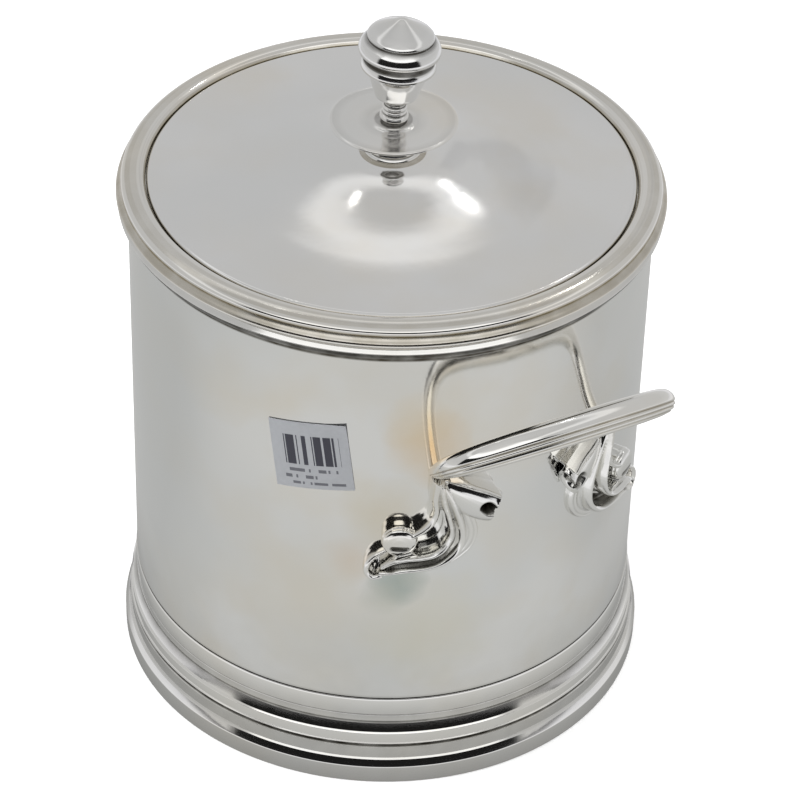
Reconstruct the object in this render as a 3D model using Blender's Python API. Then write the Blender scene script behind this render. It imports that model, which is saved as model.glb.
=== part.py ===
"""A round covered silver bowl: a drum on a spun foot, a lift-off lid with a turned finial, and an
upswept loop handle on leaf-and-scroll mounts.

Frame: metres, +Z up. The origin is the middle of the foot's underside. The handle points along +X.
Every turned piece is a closed profile spun about the Z axis. Soldered seams keep a 0.3 mm gap.
"""
import math

import bmesh
import bpy
from mathutils import Matrix, Vector, geometry

# Driving dimensions, in millimetres. MM turns them into metres where a mesh is made.
MM = 0.001
GAP = 0.3
BODY_RADIUS = 70.0
WALL_THICKNESS = 1.2
FOOT_RADIUS = 73.8
FOOT_HEIGHT = 27.4
WALL_TOP = 146.4
LID_SEAT = 147.2            # top of the body rim, where the lid border rests
LID_RADIUS = 73.2
COVER_RADIUS = 64.9         # the spun cover inside the border's double line
COVER_EDGE = 151.3
COVER_TOP = 158.5           # the flat at the top of the central rise, under the finial
SHEET = 1.0
COLLAR_TOP = 166.3
DISC_RADIUS = 17.0
DISC_TOP = 168.2
KNOB_LEAN = 3.0             # degrees: the stem and knob lean over a little, on the disc
KNOB_LEAN_TOWARDS = 57.5    # degrees about Z from +X
STUD_RADIUS = 1.25
STUD_BORE = 1.95
HANDLE_SPREAD = 24.4        # half the distance between the ends of the loop, along Y
HANDLE_ROOT = 104.2         # height at which the loop leaves the wall
HANDLE_REACH = 32.2         # length of the loop along its own sloping plane
HANDLE_SLOPE = 42.5         # degrees above the horizontal
HANDLE_TILT = 3.5           # degrees: the loop was soldered on with its -Y end a little higher
HANDLE_RADIUS = 4.0         # at the middle of the grip
HANDLE_END = 0.50           # radius at the ends, as a share of the grip's
LABEL_SIDE = 21.0
LABEL_HEIGHT = 108.5        # height of the label's middle
LABEL_TURN = -47.8          # degrees about Z from +X to the label's middle
LABEL_TILT = 7.3            # degrees: the label was stuck on askew
LABEL_THICKNESS = 0.25

SMOOTH_ANGLE = math.radians(35)
TURN_STEPS = 48             # facets round a full-size ring
FINE_TURN_STEPS = 24        # facets round a finial piece

SILVER = (0.86, 0.85, 0.83)
GREY_SILVER = (0.76, 0.75, 0.72)
BRASS = (0.80, 0.62, 0.33)
PAPER = (0.92, 0.91, 0.88)

for old in list(bpy.data.objects):
    bpy.data.objects.remove(old, do_unlink=True)


def material(name, colour, roughness, metallic):
    made = bpy.data.materials.new(name)
    made.use_nodes = True
    shader = made.node_tree.nodes["Principled BSDF"]
    shader.inputs["Base Color"].default_value = (*colour, 1.0)
    shader.inputs["Roughness"].default_value = roughness
    shader.inputs["Metallic"].default_value = metallic
    return made


def add_object(name, mesh, finish):
    """Puts a mesh into the scene under a node's name, smooth except at its sharp edges."""
    piece = bpy.data.objects.new(name, mesh)
    bpy.context.collection.objects.link(piece)
    if finish:
        mesh.materials.append(material(name, *finish))
    mesh.shade_smooth()
    mesh.set_sharp_from_angle(angle=SMOOTH_ANGLE)
    return piece


def close_up(shape):
    """Merges a bmesh's doubles and turns its faces outwards."""
    bmesh.ops.remove_doubles(shape, verts=shape.verts, dist=1e-6)
    bmesh.ops.recalc_face_normals(shape, faces=shape.faces)


def turned(name, profile, finish, steps=TURN_STEPS):
    """Spins a closed profile of (radius, height) points about Z. Points at radius 0 close at a pole."""
    shape = bmesh.new()
    on_axis = profile[0][0] == 0 and profile[-1][0] == 0
    verts = [shape.verts.new((radius * MM, 0, height * MM)) for radius, height in profile]
    ends = zip(verts, verts[1:] if on_axis else verts[1:] + verts[:1])
    edges = [shape.edges.new(pair) for pair in ends]
    bmesh.ops.spin(shape, geom=verts + edges, axis=(0, 0, 1), cent=(0, 0, 0),
                   angle=2 * math.pi, steps=steps, use_merge=True)
    close_up(shape)
    mesh = bpy.data.meshes.new(name)
    shape.to_mesh(mesh)
    shape.free()
    return add_object(name, mesh, finish)


def arc(centre, radius, start, end, points):
    """Points of an arc in the profile plane; angles in degrees, 0 outwards and 90 up."""
    return [(centre[0] + radius * math.cos(math.radians(start + (end - start) * i / (points - 1))),
             centre[1] + radius * math.sin(math.radians(start + (end - start) * i / (points - 1))))
            for i in range(points)]


# Foot ring: a vertical band at the ground, three stepped curves, and a shoulder that carries the wall.
FOOT_OUTLINE = [
    (FOOT_RADIUS - 0.6, 0.0), (FOOT_RADIUS, 0.7), (FOOT_RADIUS, 5.6), (FOOT_RADIUS - 0.3, 6.2),
    (72.9, 7.7), (72.9, 10.6), (72.1, 11.9), (72.2, 12.9), (71.6, 16.2), (70.8, 19.8),
    (70.7, 24.5), (70.5, 26.8), (70.1, FOOT_HEIGHT),
]
foot_inside = [(67.6, FOOT_HEIGHT), (67.6, FOOT_HEIGHT - 1.2), (69.2, FOOT_HEIGHT - 1.2),
               (69.4, 20.0), (70.8, 12.0), (71.6, 5.0), (71.6, 0.0)]
turned("foot_ring", FOOT_OUTLINE + foot_inside, (SILVER, 0.14, 1.0))

# Body wall: a plain drum that stands on the foot's shoulder.
wall_bottom = FOOT_HEIGHT + GAP
inner_radius = BODY_RADIUS - WALL_THICKNESS
turned("body_wall", [(BODY_RADIUS, wall_bottom), (BODY_RADIUS, WALL_TOP),
                     (inner_radius, WALL_TOP), (inner_radius, wall_bottom)], (GREY_SILVER, 0.2, 1.0))

# Body floor: a disc with an upturned edge, inside the drum.
floor_radius = inner_radius - GAP
turned("body_floor", [(0, wall_bottom + 0.2), (floor_radius, wall_bottom + 0.2), (floor_radius, wall_bottom + 4),
                      (floor_radius - SHEET, wall_bottom + 4), (floor_radius - SHEET, wall_bottom + 2),
                      (floor_radius - 2 * SHEET, wall_bottom + 1.4), (0, wall_bottom + 1.4)],
       (GREY_SILVER, 0.3, 1.0))

# Body rim: a bead round the mouth, fixed to the outside of the wall.
rim_inner = BODY_RADIUS + GAP
turned("body_rim", [(rim_inner, 142.4), (rim_inner + 0.5, 142.2)]
       + arc((70.9, 144.6), 1.75, -60, 62, 6)
       + [(71.4, 146.5), (71.3, LID_SEAT - GAP), (rim_inner, LID_SEAT - GAP)], (SILVER, 0.14, 1.0))

# Lid border: the lid's moulded edge. From outside in: a flared face, an undercut, a bead, a
# slightly hollow band and the groove that the cover's edge drops into.
turned("lid_border", [(69.3, LID_SEAT), (72.8, LID_SEAT), (LID_RADIUS, 147.6), (LID_RADIUS - 0.1, 148.3),
                      (72.3, 149.2), (71.5, 149.9), (71.75, 150.4), (71.7, 151.0), (71.3, 151.5),
                      (70.4, 152.0), (69.0, 152.35), (67.4, 152.4), (66.2, 152.15), (65.6, 151.7), (65.25, 151.2),
                      (65.25, 149.9), (69.3, 149.9)], (SILVER, 0.14, 1.0))

# Lid flange: the collar inside the mouth, with its upper edge turned in under the cover.
turned("lid_flange", [(68.1, 136.6), (68.4, 137.4), (68.4, 149.5), (63.2, 149.5), (63.2, 148.7),
                      (67.5, 148.7), (67.5, 137.4), (67.8, 136.6)], (GREY_SILVER, 0.25, 1.0))

# Lid cover: spun sheet, nearly flat at its edge and then rising in a low bell to the finial, pierced
# for the stud.
COVER_RISE = [(60.0, 151.75), (50.0, 152.2), (41.0, 153.05), (35.0, 153.85), (30.0, 154.75), (25.0, 155.8),
              (22.0, 156.5), (19.0, 157.2), (16.0, 157.75), (12.0, 158.3)]
cover_upper = [(COVER_RADIUS, 149.9), (COVER_RADIUS, COVER_EDGE), (64.3, COVER_EDGE + 0.6)]
cover_upper += COVER_RISE
cover_upper += [(8.2, COVER_TOP), (STUD_BORE, COVER_TOP)]
cover_lower = [(STUD_BORE, COVER_TOP - SHEET), (8.0, COVER_TOP - SHEET)]
cover_lower += [(radius, height - SHEET) for radius, height in reversed(COVER_RISE)]
cover_lower += [(63.9, COVER_EDGE - 0.5), (63.9, 149.9)]
turned("lid_cover", cover_upper + cover_lower, (SILVER, 0.16, 1.0))


def bored(outline, bore, bottom, top):
    """Closes a turned outline, listed from the bottom up, with a bore through the middle."""
    return outline + [(bore, top), (bore, bottom)]


# Finial collar: a waisted ring between the cover and the disc.
collar_bottom = COVER_TOP + GAP
turned("finial_collar", bored([(7.6, collar_bottom), (7.8, 159.3), (7.5, 159.8), (6.9, 160.1), (6.6, 161.0),
                               (6.5, 162.3), (6.8, 164.0), (7.3, 164.6), (7.5, 165.3), (7.2, COLLAR_TOP)],
                              STUD_BORE, collar_bottom, COLLAR_TOP), (SILVER, 0.14, 1.0), FINE_TURN_STEPS)

# Finial disc: a thin saucer, slightly dished, with a rolled edge and a small boss.
turned("finial_disc", bored([(6.0, COLLAR_TOP + GAP), (12.5, 166.9), (DISC_RADIUS - 0.7, 167.3),
                             (DISC_RADIUS - 0.1, 167.6), (DISC_RADIUS, 168.0), (DISC_RADIUS - 0.4, 168.35),
                             (DISC_RADIUS - 1.2, 168.3), (11.5, 167.9), (6.4, 167.8), (5.2, DISC_TOP),
                             (4.6, DISC_TOP)],
                            STUD_BORE, COLLAR_TOP + GAP, DISC_TOP), (SILVER, 0.14, 1.0), FINE_TURN_STEPS)

# Stem and knob: four turned pieces stacked on the disc. They lean together about the disc's middle.
lean_axis = Vector((-math.sin(math.radians(KNOB_LEAN_TOWARDS)), math.cos(math.radians(KNOB_LEAN_TOWARDS)), 0))
pivot = Vector((0, 0, DISC_TOP * MM))
lean = (Matrix.Translation(pivot) @ Matrix.Rotation(math.radians(KNOB_LEAN), 4, lean_axis)
        @ Matrix.Translation(-pivot))
STEM_BOTTOM = DISC_TOP + 0.55
STEM_TOP = 175.0
CUP_TOP = 187.0
RING_TOP = 193.0
stem = bored([(3.5, STEM_BOTTOM)] + arc((3.0, STEM_BOTTOM + 0.85), 0.8, -50, 50, 5)
             + [(2.85, 170.5)] + arc((2.75, 171.1), 0.5, -50, 50, 4)
             + [(2.75, 171.9)] + arc((2.75, 172.5), 0.5, -50, 50, 4)
             + [(2.75, 173.3), (3.2, 174.1), (3.6, STEM_TOP)], STUD_BORE, STEM_BOTTOM, STEM_TOP)
cup_bottom = STEM_TOP + GAP
cup = [(STUD_BORE, cup_bottom), (4.4, cup_bottom), (5.6, 175.9), (6.1, 176.9), (6.6, 178.6), (7.3, 180.8),
       (8.2, 182.8), (9.1, 184.2), (9.5, 185.1), (9.6, 186.0), (9.2, CUP_TOP), (0, CUP_TOP)]
ring_bottom = CUP_TOP + GAP
ring = [(0, ring_bottom), (9.2, ring_bottom)] + arc((7.6, 190.0), 3.2, -55, 60, 9) + [(8.5, RING_TOP), (0, RING_TOP)]
cap_bottom = RING_TOP + GAP
cap = [(0, cap_bottom), (8.2, cap_bottom), (8.6, 193.9), (8.3, 194.7), (7.3, 195.6), (5.6, 196.5), (3.6, 197.1),
       (2.2, 197.4), (1.6, 197.9), (0.8, 198.5), (0, 198.8)]
cup_bored = [(0, 181.0), (STUD_BORE, 181.0)] + cup
for name, profile in (("finial_stem", stem), ("finial_cup", cup_bored), ("finial_ring", ring), ("finial_cap", cap)):
    knob_piece = turned(name, profile, (SILVER, 0.14, 1.0), FINE_TURN_STEPS)
    knob_piece.data.transform(lean)

# Fixing under the lid: a stud up through the collar and disc into the cup, with a washer and a nut.
washer_top = COVER_TOP - SHEET - GAP
washer_bottom = washer_top - 0.8
nut_top = washer_bottom - GAP
nut_bottom = nut_top - 2.6
turned("finial_stud", [(0, nut_bottom - 1.5), (STUD_RADIUS - 0.3, nut_bottom - 1.5), (STUD_RADIUS, nut_bottom - 1.2),
                       (STUD_RADIUS, 177.7), (STUD_RADIUS - 0.3, 178.0), (0, 178.0)], (BRASS, 0.3, 1.0), 16)
turned("finial_washer", [(STUD_BORE, washer_bottom), (4.6, washer_bottom), (4.6, washer_top),
                         (STUD_BORE, washer_top)], (BRASS, 0.35, 1.0), 24)


def hexagon_nut(name, across_flats, bottom, top, bore):
    """A nut: a hexagon with a round hole, its top and bottom faces bridged from hole to edge."""
    shape = bmesh.new()
    sides = 6
    per_side = 4
    corner = across_flats / 2 / math.cos(math.pi / sides)
    rings = []
    for radius_rule, height in (("hex", bottom), ("hex", top), ("round", top), ("round", bottom)):
        ring_verts = []
        for i in range(sides * per_side):
            side, part = divmod(i, per_side)
            start = Vector((math.cos(side * math.pi / 3), math.sin(side * math.pi / 3), 0))
            end = Vector((math.cos((side + 1) * math.pi / 3), math.sin((side + 1) * math.pi / 3), 0))
            spot = start.lerp(end, part / per_side)
            spot = spot * corner if radius_rule == "hex" else spot.normalized() * bore
            ring_verts.append(shape.verts.new((spot.x * MM, spot.y * MM, height * MM)))
        edges = [shape.edges.new((ring_verts[i - 1], ring_verts[i])) for i in range(len(ring_verts))]
        rings.append(edges)
    for first, second in zip(rings, rings[1:] + rings[:1]):
        bmesh.ops.bridge_loops(shape, edges=first + second)
    close_up(shape)
    mesh = bpy.data.meshes.new(name)
    shape.to_mesh(mesh)
    shape.free()
    return add_object(name, mesh, (BRASS, 0.35, 1.0))


hexagon_nut("finial_nut", 6.0, nut_bottom, nut_top, STUD_BORE)


def wall_cutter():
    """The drum's outer surface, a gap larger, that trims whatever is soldered to it."""
    cutter = turned("wall_cutter", [(0, 60), (BODY_RADIUS + GAP, 60), (BODY_RADIUS + GAP, 140), (0, 140)], None)
    cutter.hide_render = True
    cutter.display_type = "WIRE"
    return cutter


def handle_path(points=33):
    """Centre line of the loop: a squared D in its own plane, which slopes up from the wall."""
    slope = math.radians(HANDLE_SLOPE)
    root = math.sqrt(BODY_RADIUS ** 2 - HANDLE_SPREAD ** 2)
    start = Vector((-3.0, HANDLE_SPREAD, 0))
    leg = Vector((16.5, HANDLE_SPREAD + 7.1, 0))
    corner = Vector((HANDLE_REACH, HANDLE_SPREAD + 20.6, 0))
    middle = Vector((HANDLE_REACH, 0, 0))
    half = geometry.interpolate_bezier(start, leg, corner, middle, (points + 1) // 2)
    flat = half + [Vector((spot.x, -spot.y, 0)) for spot in reversed(half[:-1])]
    tilt = Matrix.Rotation(-math.radians(HANDLE_TILT), 3, "X")
    return [tilt @ Vector((root + spot.x * math.cos(slope), spot.y, spot.x * math.sin(slope)))
            + Vector((0, 0, HANDLE_ROOT)) for spot in flat]


def handle_loop(name, cutter):
    """The loop: a round bar, thick in the grip and thin at its ends, trimmed to the wall."""
    path = handle_path()
    curve = bpy.data.curves.new(name, "CURVE")
    curve.dimensions = "3D"
    curve.bevel_depth = HANDLE_RADIUS * MM
    curve.bevel_resolution = 3
    curve.use_fill_caps = True
    spline = curve.splines.new("POLY")
    spline.points.add(len(path) - 1)
    for i, spot in enumerate(path):
        spline.points[i].co = (*(spot * MM), 1.0)
        along = math.sin(math.pi * i / (len(path) - 1))
        spline.points[i].radius = HANDLE_END + (1 - HANDLE_END) * along ** 2
    guide = bpy.data.objects.new(name + "_guide", curve)
    bpy.context.collection.objects.link(guide)
    graph = bpy.context.evaluated_depsgraph_get()
    mesh = bpy.data.meshes.new_from_object(guide.evaluated_get(graph))
    bpy.data.objects.remove(guide)
    shape = bmesh.new()
    shape.from_mesh(mesh)
    close_up(shape)
    shape.to_mesh(mesh)
    shape.free()
    piece = add_object(name, mesh, (SILVER, 0.16, 1.0))
    trim(piece, cutter)
    return piece


def trim(piece, cutter):
    """Cuts the drum's shape out of a piece, so that its back follows the wall."""
    cut = piece.modifiers.new("wall", "BOOLEAN")
    cut.operation = "DIFFERENCE"
    cut.object = cutter
    graph = bpy.context.evaluated_depsgraph_get()
    trimmed = bpy.data.meshes.new_from_object(piece.evaluated_get(graph))
    piece.modifiers.remove(cut)
    shape = bmesh.new()
    shape.from_mesh(trimmed)
    close_up(shape)
    shape.to_mesh(piece.data)
    shape.free()
    bpy.data.meshes.remove(trimmed)


# Outline of one mount on the unrolled wall, as (distance along the wall from the handle's middle,
# height): the neck under the loop's end, the scroll, the curled tip, the lower leaf and the upper leaf.
MOUNT_OUTLINE = [
    (27.6, 101.6), (27.3, 98.5), (26.9, 94.5), (28.2, 91.2), (30.4, 89.9), (32.4, 91.6), (35.0, 92.6),
    (37.4, 91.2), (38.9, 87.4), (39.9, 83.6), (42.6, 81.2), (44.0, 77.4), (42.9, 73.8), (39.8, 72.2),
    (36.6, 74.2), (32.6, 75.3), (28.2, 75.5), (23.4, 76.6), (19.7, 78.6), (17.0, 81.8), (15.0, 85.4),
    (13.6, 88.6), (11.4, 90.2), (9.8, 93.4), (9.3, 97.0), (13.4, 99.8), (18.8, 101.4), (23.0, 101.8),
]
MOUNT_THICKNESS = 2.6
BACK_MOUNT_DROP = 1.8       # the +Y mount was soldered on a little lower, with its end of the loop
SCROLL_CENTRE = (35.6, 86.6)
SCROLL_RADIUS = 4.6


def leaf_mount(name, side, drop):
    """One cast mount: a domed leaf that follows the wall, with the ball of its scroll joined on."""
    shape = bmesh.new()
    verts = [shape.verts.new((along, height, 0)) for along, height in MOUNT_OUTLINE]
    face = shape.faces.new(verts)
    raised = bmesh.ops.extrude_face_region(shape, geom=[face])["geom"]
    top_verts = [item for item in raised if isinstance(item, bmesh.types.BMVert)]
    top_face = [item for item in raised if isinstance(item, bmesh.types.BMFace)]
    bmesh.ops.translate(shape, verts=top_verts, vec=(0, 0, MOUNT_THICKNESS * 0.55))
    bmesh.ops.inset_region(shape, faces=top_face, thickness=1.3, depth=MOUNT_THICKNESS * 0.45)
    close_up(shape)
    mesh = bpy.data.meshes.new(name)
    shape.to_mesh(mesh)
    shape.free()
    piece = add_object(name, mesh, (SILVER, 0.18, 1.0))
    ball_mesh = bpy.data.meshes.new("scroll_ball")
    ball = bmesh.new()
    bmesh.ops.create_uvsphere(ball, u_segments=12, v_segments=8, radius=SCROLL_RADIUS)
    bmesh.ops.translate(ball, verts=ball.verts, vec=(*SCROLL_CENTRE, 1.9))
    ball.to_mesh(ball_mesh)
    ball.free()
    ball_object = bpy.data.objects.new("scroll_ball", ball_mesh)
    bpy.context.collection.objects.link(ball_object)
    join = piece.modifiers.new("scroll", "BOOLEAN")
    join.operation = "UNION"
    join.object = ball_object
    graph = bpy.context.evaluated_depsgraph_get()
    joined = bpy.data.meshes.new_from_object(piece.evaluated_get(graph))
    piece.modifiers.remove(join)
    bpy.data.objects.remove(ball_object)
    shape = bmesh.new()
    shape.from_mesh(joined)
    wrap_on_wall(shape, side)
    bmesh.ops.translate(shape, verts=shape.verts, vec=(0, 0, -drop * MM))
    shape.to_mesh(piece.data)
    shape.free()
    bpy.data.meshes.remove(joined)
    return piece


def wrap_on_wall(shape, side):
    """Bends a flat relief (along, height, out) round the drum. Its back is cut flat first."""
    everything = shape.verts[:] + shape.edges[:] + shape.faces[:]
    cut = bmesh.ops.bisect_plane(shape, geom=everything, plane_co=(0, 0, 0), plane_no=(0, 0, -1), clear_outer=True)
    rim_edges = [item for item in cut["geom_cut"] if isinstance(item, bmesh.types.BMEdge)]
    if any(edge.is_boundary for edge in rim_edges):
        bmesh.ops.holes_fill(shape, edges=[edge for edge in shape.edges if edge.is_boundary])
    bmesh.ops.triangulate(shape, faces=shape.faces)
    for along in range(10, 44, 3):
        everything = shape.verts[:] + shape.edges[:] + shape.faces[:]
        bmesh.ops.bisect_plane(shape, geom=everything, plane_co=(along, 0, 0), plane_no=(1, 0, 0))
    for vert in shape.verts:
        along, height, out = vert.co
        angle = side * along / BODY_RADIUS
        radius = BODY_RADIUS + GAP + out
        vert.co = Vector((radius * math.cos(angle), radius * math.sin(angle), height)) * MM
    bmesh.ops.triangulate(shape, faces=shape.faces)
    close_up(shape)


handle_loop("handle_loop", wall_cutter())
leaf_mount("leaf_mount_front", -1, 0.0)
leaf_mount("leaf_mount_back", 1, BACK_MOUNT_DROP)


def stock_label(name):
    """A square of paper, stuck on the wall and bent to it."""
    shape = bmesh.new()
    bmesh.ops.create_grid(shape, x_segments=8, y_segments=1, size=LABEL_SIDE / 2)
    bmesh.ops.rotate(shape, verts=shape.verts, matrix=Matrix.Rotation(math.radians(LABEL_TILT), 3, "Z"))
    raised = bmesh.ops.extrude_face_region(shape, geom=shape.faces[:])["geom"]
    top_verts = [item for item in raised if isinstance(item, bmesh.types.BMVert)]
    bmesh.ops.translate(shape, verts=top_verts, vec=(0, 0, LABEL_THICKNESS))
    for vert in shape.verts:
        angle = math.radians(LABEL_TURN) + vert.co.x / BODY_RADIUS
        radius = BODY_RADIUS + GAP + vert.co.z
        vert.co = Vector((radius * math.cos(angle), radius * math.sin(angle), LABEL_HEIGHT + vert.co.y)) * MM
    close_up(shape)
    mesh = bpy.data.meshes.new(name)
    shape.to_mesh(mesh)
    shape.free()
    return add_object(name, mesh, (PAPER, 0.7, 0.0))


stock_label("stock_label")
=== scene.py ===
"""Finish of a round covered silver bowl: spun foot, drum, rim, lift-off lid with a turned finial, and
a reeded loop handle on cast leaf mounts. Sizes are in millimetres in the sections, metres in meshes.
"""
import math

import bmesh
import bpy
from mathutils import Matrix, Vector, geometry


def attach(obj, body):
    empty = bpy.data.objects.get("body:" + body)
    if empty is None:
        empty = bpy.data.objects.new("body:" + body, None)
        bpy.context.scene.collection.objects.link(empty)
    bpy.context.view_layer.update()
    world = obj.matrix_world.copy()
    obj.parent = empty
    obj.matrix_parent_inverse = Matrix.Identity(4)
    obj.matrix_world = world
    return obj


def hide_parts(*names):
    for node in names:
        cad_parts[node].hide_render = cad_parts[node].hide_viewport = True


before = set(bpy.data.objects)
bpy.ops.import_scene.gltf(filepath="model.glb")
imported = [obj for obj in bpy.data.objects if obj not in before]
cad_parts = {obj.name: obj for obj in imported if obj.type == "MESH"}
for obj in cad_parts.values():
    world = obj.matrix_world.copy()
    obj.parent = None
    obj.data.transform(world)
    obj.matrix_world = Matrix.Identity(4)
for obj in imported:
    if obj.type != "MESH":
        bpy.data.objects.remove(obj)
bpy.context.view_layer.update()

# Camera: looks down at the front of the bowl, with the handle turned 32 degrees to its right, through
# a long lens. It aims a little beside the axis, at mid height, and leans slightly to one side.
MM = 0.001
CAMERA_TURN = 57.5
CAMERA_ELEVATION = 37.36
CAMERA_ROLL = 1.75
CAMERA_DISTANCE = 939.2
CAMERA_AIM_SIDE = 3.63
CAMERA_AIM_HEIGHT = 76.1
SENSOR_WIDTH = 36.0
FOCAL_LENGTH = 152.4

lens = bpy.data.cameras.new("camera")
lens.sensor_width = SENSOR_WIDTH
lens.lens = FOCAL_LENGTH
lens.clip_start = 0.01
camera = bpy.data.objects.new("camera", lens)
bpy.context.scene.collection.objects.link(camera)
camera.matrix_world = (Matrix.Rotation(math.radians(CAMERA_TURN), 4, "Z")
                       @ Matrix.Translation(Vector((CAMERA_AIM_SIDE, 0, CAMERA_AIM_HEIGHT)) * MM)
                       @ Matrix.Rotation(math.radians(90 - CAMERA_ELEVATION), 4, "X")
                       @ Matrix.Rotation(math.radians(CAMERA_ROLL), 4, "Z")
                       @ Matrix.Translation((0, 0, CAMERA_DISTANCE * MM)))
bpy.context.scene.camera = camera
bpy.context.scene.view_settings.view_transform = "Standard"

# Studio: a pale table under soft light. The silver mirrors the room, so the room has what a light tent
# has: grey cloth behind, white overhead, a stand in one corner, and a dark gap in front for the camera.
TABLE_SIZE = 4.0
TENT_GREY = 0.565
DARK_GAP = 0.012
STAND_GREY = (0.34, 0.34, 0.35)
STAND_STRENGTH = 0.30
RIGHT = Vector((math.cos(math.radians(CAMERA_TURN)), math.sin(math.radians(CAMERA_TURN)), 0))
FRONT = Vector((math.sin(math.radians(CAMERA_TURN)), -math.cos(math.radians(CAMERA_TURN)), 0))


class Nodes:
    """A node tree with short calls for adding nodes, linking them and reading sockets by name."""

    def __init__(self, owner):
        owner.use_nodes = True
        self.tree = owner.node_tree
        self.tree.nodes.clear()

    def add(self, kind, inputs=None, **settings):
        """Adds a node; inputs gives each socket a value or the socket that feeds it."""
        node = self.tree.nodes.new(kind)
        for key, value in settings.items():
            setattr(node, key, value)
        for key, value in (inputs or {}).items():
            if isinstance(value, bpy.types.NodeSocket):
                self.tree.links.new(value, node.inputs[key])
            else:
                node.inputs[key].default_value = value
        return node

    def math(self, operation, first, second=0.0):
        """Maths on one or two numbers."""
        return self.add("ShaderNodeMath", {0: first, 1: second}, operation=operation).outputs[0]

    def vector(self, operation, first, second=(0.0, 0.0, 0.0)):
        """Vector maths that gives a vector."""
        return self.add("ShaderNodeVectorMath", {0: first, 1: second}, operation=operation).outputs[0]

    def measure(self, operation, first, second=(0.0, 0.0, 0.0)):
        """Vector maths that gives one number: a length, a distance or a dot product."""
        return self.add("ShaderNodeVectorMath", {0: first, 1: second}, operation=operation).outputs["Value"]

    def ramp(self, factor, stops):
        """Colour ramp with stops of (position, colour or grey level)."""
        node = self.add("ShaderNodeValToRGB", {0: factor})
        while len(node.color_ramp.elements) < len(stops):
            node.color_ramp.elements.new(1.0)
        for element, (position, level) in zip(node.color_ramp.elements, stops):
            element.position = position
            element.color = (*level, 1.0) if isinstance(level, tuple) else (level, level, level, 1.0)
        return node.outputs[0]

    def blend(self, factor, first, second):
        """Mixes two colours. Sockets 0, 6 and 7 are a colour mix's factor and its two colours."""
        node = self.add("ShaderNodeMix", data_type="RGBA")
        for socket, value in ((node.inputs[0], factor), (node.inputs[6], first), (node.inputs[7], second)):
            if isinstance(value, bpy.types.NodeSocket):
                self.tree.links.new(value, socket)
            elif isinstance(value, tuple):
                socket.default_value = (*value, 1.0)
            else:
                socket.default_value = value
        return node.outputs[2]


room = bpy.data.worlds.new("studio")
bpy.context.scene.world = room
air = Nodes(room)
direction = air.add("ShaderNodeTexCoord").outputs["Generated"]
height = air.add("ShaderNodeSeparateXYZ", {0: direction}).outputs[2]
flat_length = air.math("SQRT", air.math("SUBTRACT", 1.0, air.math("MULTIPLY", height, height)))
level_length = air.math("MAXIMUM", flat_length, 0.001)
facing_front = air.math("DIVIDE", air.measure("DOT_PRODUCT", direction, FRONT), level_length)
sideways = air.math("DIVIDE", air.measure("DOT_PRODUCT", direction, RIGHT), level_length)
upper = air.math("MAXIMUM", height, 0.0)
tent = air.ramp(upper, [(0.0, 0.62), (0.30, TENT_GREY), (0.70, TENT_GREY), (0.755, 0.84), (0.80, 0.80),
                        (0.84, 0.52), (1.0, 0.58)])
stand_side = air.ramp(sideways, [(0.0, 0.0), (0.19, 0.0), (0.215, 1.0), (0.30, 0.6), (0.315, 0.0)])
stand_height = air.ramp(upper, [(0.0, 0.0), (0.32, 0.0), (0.38, 1.0), (0.62, 1.0), (0.66, 0.0)])
stand = air.math("MULTIPLY", air.math("MULTIPLY", stand_side, stand_height), STAND_STRENGTH)
tent = air.blend(stand, tent, STAND_GREY)
front = air.ramp(upper, [(0.0, DARK_GAP), (0.60, DARK_GAP), (0.64, 1.25), (0.84, 1.15), (0.93, 0.62),
                         (1.0, 0.6)])
gap_width = air.ramp(facing_front, [(0.0, 0.0), (0.48, 0.0), (0.56, 1.0), (1.0, 1.0)])
sky = air.blend(gap_width, tent, front)
glow = air.add("ShaderNodeBackground", {"Color": sky, "Strength": 1.0})
air.add("ShaderNodeOutputWorld", {"Surface": glow.outputs[0]})

table_shape = bmesh.new()
bmesh.ops.create_grid(table_shape, x_segments=1, y_segments=1, size=TABLE_SIZE / 2)
table_mesh = bpy.data.meshes.new("table")
table_shape.to_mesh(table_mesh)
table_shape.free()
table = bpy.data.objects.new("table", table_mesh)
bpy.context.scene.collection.objects.link(table)
table_finish = bpy.data.materials.new("white_table")
top = Nodes(table_finish)
paint = top.add("ShaderNodeBsdfDiffuse", {"Color": (0.93, 0.93, 0.93, 1.0)})
backlit = top.add("ShaderNodeEmission", {"Color": (1.0, 1.0, 1.0, 1.0), "Strength": 0.3})
backdrop = top.add("ShaderNodeAddShader", {0: paint.outputs[0], 1: backlit.outputs[0]})
# Glossy rays see the table as a glow, not lit: a grey that changes with the angle it is seen at. It has a
# painted shadow near the foot and painted shade behind and beside the bowl.
grazing = top.add("ShaderNodeLayerWeight", {"Blend": 0.5}).outputs["Facing"]
mirrored = top.ramp(grazing, [(0.0, (0.56, 0.562, 0.555)), (0.45, (0.625, 0.628, 0.62)),
                              (0.62, (0.71, 0.712, 0.71)), (0.72, (1.0, 1.0, 1.02)),
                              (0.93, (0.85, 0.85, 0.88)), (1.0, (0.05, 0.05, 0.05))])
ground = top.add("ShaderNodeTexCoord").outputs["Object"]
ahead = top.measure("DOT_PRODUCT", top.vector("NORMALIZE", ground), FRONT)
painted_shade_behind = top.ramp(ahead, [(0.0, 0.84), (0.55, 0.97), (0.8, 1.0)])
from_axis = top.measure("LENGTH", ground)
painted_contact_shadow = top.ramp(from_axis, [(0.074, 0.56), (0.081, 0.70), (0.088, 0.88), (0.105, 0.98)])
brightness = top.math("MULTIPLY", painted_shade_behind, painted_contact_shadow)
sheen = top.add("ShaderNodeEmission", {"Color": mirrored, "Strength": brightness})
seen_in_silver = top.add("ShaderNodeLightPath").outputs["Is Glossy Ray"]
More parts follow.
